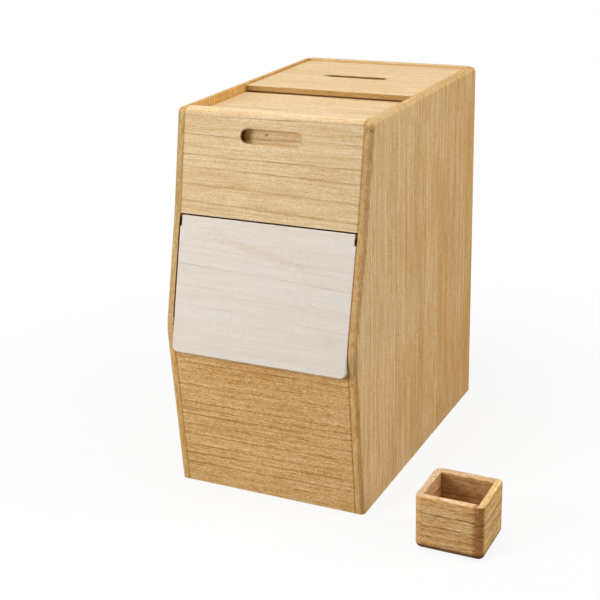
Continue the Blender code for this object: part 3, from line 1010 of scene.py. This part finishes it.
# The left wall's end grain is hardly darker than its face; the right wall is yellower, with darker ends
BOX_LEFT_WOOD = BOX_WALL_WOOD | {"end": (1.0, 0.95, 0.92)}
BOX_RIGHT_WOOD = BOX_WALL_WOOD | {
    "body": tone(224, 180, 114),
    "warm": tone(205, 156, 82),
    "end": (0.58, 0.45, 0.39),
    "end_reach": (0.25, 0.70),
}
BOX_WOODS = {
    name: timber(f"box_wood_{name}", axes, seed=seed, lines_from=lift, flank=rim, painted_light_and_tints=painted_light_and_tints, **wood)
    for name, axes, wood, seed, lift, rim, painted_light_and_tints in (
        ("front", STANDING_AXES, BOX_WALL_WOOD, 61.0, 0.0, (1.20, 1.38, 1.97), (BOX_FOOT_SHADOW, BOX_CORNER)),
        ("back", STANDING_AXES, BOX_WALL_WOOD, 62.3, -0.003, (1.0, 1.22, 1.85), (BOX_FOOT_SHADOW, BOX_BACK_INSIDE_SHADE)),
        ("left", FRONT_TO_BACK_AXES, BOX_LEFT_WOOD, 63.8, 0.002, (1.03, 1.22, 1.95), (BOX_FOOT_SHADOW, BOX_LEFT_INSIDE_SHADE)),
        ("right", FRONT_TO_BACK_AXES, BOX_RIGHT_WOOD, 64.1, -0.001, (1.26, 1.57, 2.6), (BOX_FOOT_SHADOW,)),
        ("floor", LEVEL_AXES, BOX_WOOD, 65.7, 0.0, (1.0, 1.0, 1.0), ()),
    )
}
INNER_COLOURS = {"body": tone(214, 180, 132), "warm": tone(200, 160, 106), "streak": tone(150, 108, 62)}
INNER_LEVEL_WOOD = timber("inner_level_wood", LEVEL_AXES, seed=71.0, **INNER_COLOURS)
INNER_RAIL_WOOD = timber("inner_rail_wood", FRONT_TO_BACK_AXES, seed=73.0, **INNER_COLOURS)


# ---------------------------------------------------------------- the chest's boards


def side_board(side, word):
    """A side: rounded outside along its front, top and back, with a blind hole for the flap's pin."""
    corners = (FOOT, (BACK, 0.0), (BACK, CHEST_HEIGHT), RIM, HEAD, BEND)
    outline = rounded(corners, (0, 0, BACK_CORNER_RADIUS, RIM_RADIUS, 0, BEND_RADIUS))
    low, high = sorted((side * INNER_HALF, side * OUTER_HALF))
    place = (low, 0.0, 0.0)
    board = cut_board(f"side_board_{word}", [outline], high - low, UPRIGHT_SIDE, place, SIDE_WOODS[word])
    outer = side * OUTER_HALF
    round_over(board, lambda edge: level_at(edge, 0, outer) and not level_at(edge, 2, 0.0), OUTER_ROUNDING)
    bore_for_pin(board, side * (INNER_HALF - HOLE_OVERRUN), side * (INNER_HALF + PIN_IN_SIDE))
    ease(board, JOINT_ARRIS, 2)
    hang(board, SIDE_WOODS[word], "case", "side_wood", f"side_panel_{word}")


def upper_front_board():
    """The fixed front above the flap, with a round rim and a blind finger recess."""
    behind = set_back(HEAD, RIM, UPPER_THICKNESS)
    outline = rounded((HEAD, behind[0], behind[1], RIM), (ARRIS, 0, RECESS_ARRIS, RIM_RADIUS))
    board = board_between_sides("upper_front_board", outline, UPPER_WOOD)
    lean = math.atan2(RIM.x - HEAD.x, RIM.y - HEAD.y)
    mouth = Vector((0.0, depth_at(HEAD, RIM, RECESS_HEIGHT), RECESS_HEIGHT))
    inner_end = mouth + Vector((0.0, math.cos(lean), -math.sin(lean))) * RECESS_DEPTH
    turn = (math.pi / 2 - lean, 0.0, 0.0)
    take_out(board, cut_board("recess", [stadium(*RECESS_SIZE)], RECESS_TOOL_LENGTH, turn, inner_end, None))
    reach = RECESS_SIZE[0] / 2 + ARRIS

    def recess_edge(edge, depth):
        for end in edge.verts:
            below_face = (end.co.y - depth_at(HEAD, RIM, end.co.z)) * math.cos(lean)
            if abs(below_face - depth) > ARRIS / 2 or abs(end.co.x) > reach:
                return False
        return is_sharp(edge)

    round_over(board, lambda edge: recess_edge(edge, 0.0), RECESS_ARRIS, 3)
    round_over(board, lambda edge: recess_edge(edge, RECESS_DEPTH), RECESS_COVE, 8)
    ease(board, JOINT_ARRIS, 2)
    hang(board, UPPER_WOOD, "case", "front_wood", "upper_front_panel")


def flap_seat():
    """The line that the flap's back lies on, a hair behind it."""
    return set_back(BEND, HEAD, FLAP_THICKNESS + SEAT_GAP)


def lower_front_board():
    """The fixed front below the flap; its head is planed to the flap's lean."""
    behind = set_back(FOOT, BEND, LOWER_THICKNESS)
    seat = flap_seat()
    toe = crossing(seat, (FOOT, BEND))
    top = toe.y + SEAT_RISE
    corners = (FOOT, behind[0], (depth_at(*behind, top), top), (depth_at(*seat, top), top), toe)
    outline = rounded(corners, (ARRIS, 0, ARRIS, ARRIS, 0))
    board = board_between_sides("lower_front_board", outline, LOWER_WOOD)
    ease(board, JOINT_ARRIS, 2)
    hang(board, LOWER_WOOD, "case", "front_wood", "lower_front_panel")


def back_board():
    corners = ((BACK_INSIDE, 0.0), (BACK, 0.0), (BACK, CHEST_HEIGHT), (BACK_INSIDE, CHEST_HEIGHT))
    outline = rounded(corners, (0, ARRIS, 2 * ARRIS, ARRIS))
    board = board_between_sides("back_board", outline, BACK_WOOD)
    ease(board, JOINT_ARRIS, 2)
    hang(board, BACK_WOOD, "case", "side_wood", "back_panel")


def front_top_board():
    """The fixed board behind the rim, which the lid slides over."""
    low, high = TOP_BOARD_LEVELS
    behind = set_back(HEAD, RIM, UPPER_THICKNESS + GLUE_LINE)
    outline = (
        (depth_at(*behind, low), low),
        (TOP_BOARD_REAR, low),
        (TOP_BOARD_REAR, high),
        (depth_at(*behind, high), high),
    )
    board = board_between_sides("top_front_board", outline, TOP_BOARD_WOOD)
    ease(board, JOINT_ARRIS, 2)
    hang(board, TOP_BOARD_WOOD, "case", "top_wood", "front_top_board")


def sliding_lid():
    """The lid, with a finger slot through it."""
    outline = oblong(LID_HALF, *LID_REACH)
    slot = stadium(*SLOT_SIZE, (0.0, SLOT_MIDDLE))
    low, high = LID_LEVELS
    board = cut_board("sliding_lid", [outline, slot], high - low, FLAT, (0.0, 0.0, low), LID_WOOD)
    round_over(board, lambda edge: level_at(edge, 2, low), LID_UNDER_ARRIS, 3)
    ease(board, ARRIS)
    hang(board, LID_WOOD, "lid", "top_wood", "lid")


def scoop_flap():
    """The swinging flap, notched at its head for the pivots and rounded at its foot."""
    neck = FLAP_HALF - FLAP_NOTCH[0]
    top = PIVOT_DROP
    shoulder = top - FLAP_NOTCH[1]
    foot = top - FLAP_LENGTH
    top += FLAP_HEAD_RISE
    corners = (
        (-FLAP_HALF, foot),
        (FLAP_HALF, foot),
        (FLAP_HALF, shoulder),
        (neck, shoulder),
        (neck, top),
        (-neck, top),
        (-neck, shoulder),
        (-FLAP_HALF, shoulder),
    )
    outline = rounded(corners, (FLAP_CORNER, FLAP_CORNER, 0, 0, 0, 0, 0, 0))
    lean = math.atan2(HEAD.x - BEND.x, HEAD.y - BEND.y)
    turn = (math.pi / 2 - lean, 0.0, 0.0)
    place = PIVOT + Vector((0.0, math.cos(lean), -math.sin(lean))) * FLAP_THICKNESS / 2
    board = cut_board("scoop_flap", [outline], FLAP_THICKNESS, turn, place, FLAP_WOOD)
    for side in (-1, 1):
        bore_for_pin(board, side * (neck - PIN_IN_FLAP), side * OUTER_HALF)
    ease(board, FLAP_ARRIS, 4)
    hang(board, FLAP_WOOD, "flap", "pale_wood", "flap")


# ---------------------------------------------------------------- the measuring box


def box_side(side, word):
    """A through wall, rounded at its outer corners and its foot."""
    outer = BOX_MIDDLE.x + side * BOX_HALF_WIDTH
    inner = BOX_MIDDLE.x + side * (BOX_HALF_WIDTH - BOX_WALL)
    front, rear = BOX_MIDDLE.y - BOX_HALF_DEPTH, BOX_MIDDLE.y + BOX_HALF_DEPTH
    rim = [(y, BOX_HEIGHT) for y in (rear, rear - BOX_WALL, front + BOX_WALL, front)]
    outline = ((front, 0.0), (rear, 0.0), *rim)
    low, high = sorted((outer, inner))
    board = cut_board(f"box_side_{word}", [outline], high - low, UPRIGHT_SIDE, (low, 0.0, 0.0), BOX_WOODS[word])

    def corner(edge):
        upright = level_at(edge, 0, outer) and not level_at(edge, 2, BOX_HEIGHT)
        return upright or level_at(edge, 2, 0.0) and not level_at(edge, 0, inner)

    def lip(edge):
        if not level_at(edge, 2, BOX_HEIGHT) or not is_sharp(edge):
            return False
        middle = (edge.verts[0].co + edge.verts[1].co) / 2
        return not level_at(edge, 0, inner) or front + BOX_WALL < middle.y < rear - BOX_WALL

    round_over(board, corner, BOX_ROUNDING, 8)
    round_over(board, lip, BOX_ARRIS, 4)
    ease(board, BOX_JOINT_ARRIS, 1)
    hang(board, BOX_WOODS[word], "measuring_box", "box_wood", f"box_wall_{word}")


def box_end(end, word):
    """The front or back wall, between the through walls."""
    outer = BOX_MIDDLE.y + end * BOX_HALF_DEPTH
    inner = BOX_MIDDLE.y + end * (BOX_HALF_DEPTH - BOX_WALL)
    corners = ((inner, 0.0), (outer, 0.0), (outer, BOX_HEIGHT), (inner, BOX_HEIGHT))
    outline = rounded(corners, (0, BOX_ROUNDING, BOX_ARRIS, BOX_ARRIS), BOX_ARC_STEP)
    half = BOX_HALF_WIDTH - BOX_WALL - GLUE_LINE
    place = (BOX_MIDDLE.x - half, 0.0, 0.0)
    board = cut_board(f"box_end_{word}", [outline], 2 * half, UPRIGHT_SIDE, place, BOX_WOODS[word])
    ease(board, BOX_JOINT_ARRIS, 1, 60.0)
    hang(board, BOX_WOODS[word], "measuring_box", "box_wood", f"box_wall_{word}")


def box_bottom():
    half_width = BOX_HALF_WIDTH - BOX_WALL - GLUE_LINE
    half_depth = BOX_HALF_DEPTH - BOX_WALL - GLUE_LINE
    outline = oblong(half_width, -half_depth, half_depth)
    board = cut_board("box_bottom", [outline], BOX_FLOOR, FLAT, BOX_MIDDLE, BOX_WOODS["floor"])
    ease(board, ARRIS)
    hang(board, BOX_WOODS["floor"], "measuring_box", "box_wood", "box_floor")


# ---------------------------------------------------------------- inner boards and pivots keep the frame's solids


def finish_inner_parts():
    inner = {
        "bottom_board": INNER_LEVEL_WOOD,
        "sloped_floor": INNER_LEVEL_WOOD,
        "lid_rail_left": INNER_RAIL_WOOD,
        "lid_rail_right": INNER_RAIL_WOOD,
        "slope_bearer_left": INNER_RAIL_WOOD,
        "slope_bearer_right": INNER_RAIL_WOOD,
    }
    steel = turned_steel("pivot_steel")
    nylon = moulded_nylon("pivot_nylon")
    for word in ("left", "right"):
        inner[f"pivot_pin_{word}"] = steel
        inner[f"pivot_washer_{word}"] = nylon
    for node, material in inner.items():
        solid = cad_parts[node]
        solid.data.materials.clear()
        solid.data.materials.append(material)


# ---------------------------------------------------------------- studio


def paper_floor():
    """A wide white floor that keeps a soft shadow near the chest."""
    mesh = bpy.data.meshes.new("paper_floor")
    corners = [(*corner, 0.0) for corner in oblong(FLOOR_REACH, -FLOOR_REACH, FLOOR_REACH)]
    mesh.from_pydata(corners, [], [(0, 1, 2, 3)])
    floor = bpy.data.objects.new("paper_floor", mesh)
    floor.location.z = -FLOOR_DROP
    bpy.context.scene.collection.objects.link(floor)
    paper = Recipe("white_paper")
    away = paper.add("ShaderNodeVectorMath", {"operation": "LENGTH"}, {0: paper.place()}, "Value")
    glow = paper.add("ShaderNodeEmission", None, {"Color": WHITE, "Strength": 1.0})
    glow_share = FLOOR_GLOW + (1.0 - FLOOR_GLOW) * away.step(*FLOOR_FADE)
    sheet = paper.add("ShaderNodeBsdfDiffuse", None, {"Color": PAPER_TONE})
    white = paper.add("ShaderNodeMixShader", None, {0: glow_share, 1: sheet, 2: glow})
    grey = paper.add("ShaderNodeBsdfDiffuse", None, {"Color": PAPER_BOUNCE})
    mixed = paper.add("ShaderNodeMixShader", None, {0: paper.shown(), 1: grey, 2: white})
    paper.feed(paper.nodes["Material Output"].inputs["Surface"], mixed)
    paper.nodes.remove(paper.shader)
    mesh.materials.append(paper.material)


def white_room():
    """Even light all round, and a white background for the camera."""
    world = bpy.data.worlds.new("white_room")
    bpy.context.scene.world = world
    world.use_nodes = True
    world.node_tree.nodes.clear()
    room = Tree(world.node_tree)
    soft = room.add("ShaderNodeBackground", None, {"Color": ROOM_TINT, "Strength": ROOM_LIGHT})
    white = room.add("ShaderNodeBackground", None, {"Color": WHITE, "Strength": 1.0})
    mixed = room.add("ShaderNodeMixShader", None, {0: room.shown(), 1: soft, 2: white})
    room.add("ShaderNodeOutputWorld", None, {"Surface": mixed})


def direction(azimuth, elevation):
    """From the chest outwards, in degrees; azimuth 0 is straight in front, plus is to the right."""
    turn, rise = math.radians(azimuth), math.radians(elevation)
    return Vector((math.sin(turn) * math.cos(rise), -math.cos(turn) * math.cos(rise), math.sin(rise)))


def softbox(name, azimuth, elevation, size, power):
    """A square lamp that looks at the middle of the chest."""
    lamp = bpy.data.lights.new(name, "AREA")
    lamp.shape = "SQUARE"
    lamp.size = size
    lamp.energy = power
    lamp.color = LAMP_TINT
    made = bpy.data.objects.new(name, lamp)
    bpy.context.scene.collection.objects.link(made)
    away = direction(azimuth, elevation)
    made.location = LAMP_AIM + away * LAMP_DISTANCE
    made.rotation_euler = away.to_track_quat("Z", "Y").to_euler()


def camera():
    """Placed by the direction that it looks from, its roll and its offset from the aim point."""
    back = direction(VIEW_AZIMUTH, VIEW_ELEVATION)
    roll = math.radians(VIEW_ROLL)
    level = Vector(Z_AXIS).cross(back).normalized()
    upright = back.cross(level)
    right = level * math.cos(roll) + upright * math.sin(roll)
    up = upright * math.cos(roll) - level * math.sin(roll)
    spot = VIEW_AIM - right * VIEW_OFFSET[0] - up * VIEW_OFFSET[1] + back * VIEW_DISTANCE
    lens = bpy.data.cameras.new("camera")
    lens.sensor_fit = "HORIZONTAL"
    lens.sensor_width = VIEW_SENSOR
    lens.lens = VIEW_LENS
    made = bpy.data.objects.new("camera", lens)
    bpy.context.scene.collection.objects.link(made)
    made.matrix_world = Matrix.Translation(spot) @ Matrix((right, up, back)).transposed().to_4x4()
    bpy.context.scene.camera = made


camera()
white_room()
paper_floor()
softbox("key_softbox", azimuth=-35.0, elevation=18.0, size=0.9, power=29.5)
softbox("top_softbox", azimuth=-20.0, elevation=80.0, size=1.4, power=30.0)
softbox("side_softbox", azimuth=100.0, elevation=25.0, size=1.2, power=23.0)
bpy.context.scene.view_settings.view_transform = "Standard"

for sign, name in ((-1, "left"), (1, "right")):
    side_board(sign, name)
    box_side(sign, name)
for sign, name in ((-1, "front"), (1, "back")):
    box_end(sign, name)
box_bottom()
upper_front_board()
lower_front_board()
back_board()
front_top_board()
sliding_lid()
scoop_flap()
finish_inner_parts()
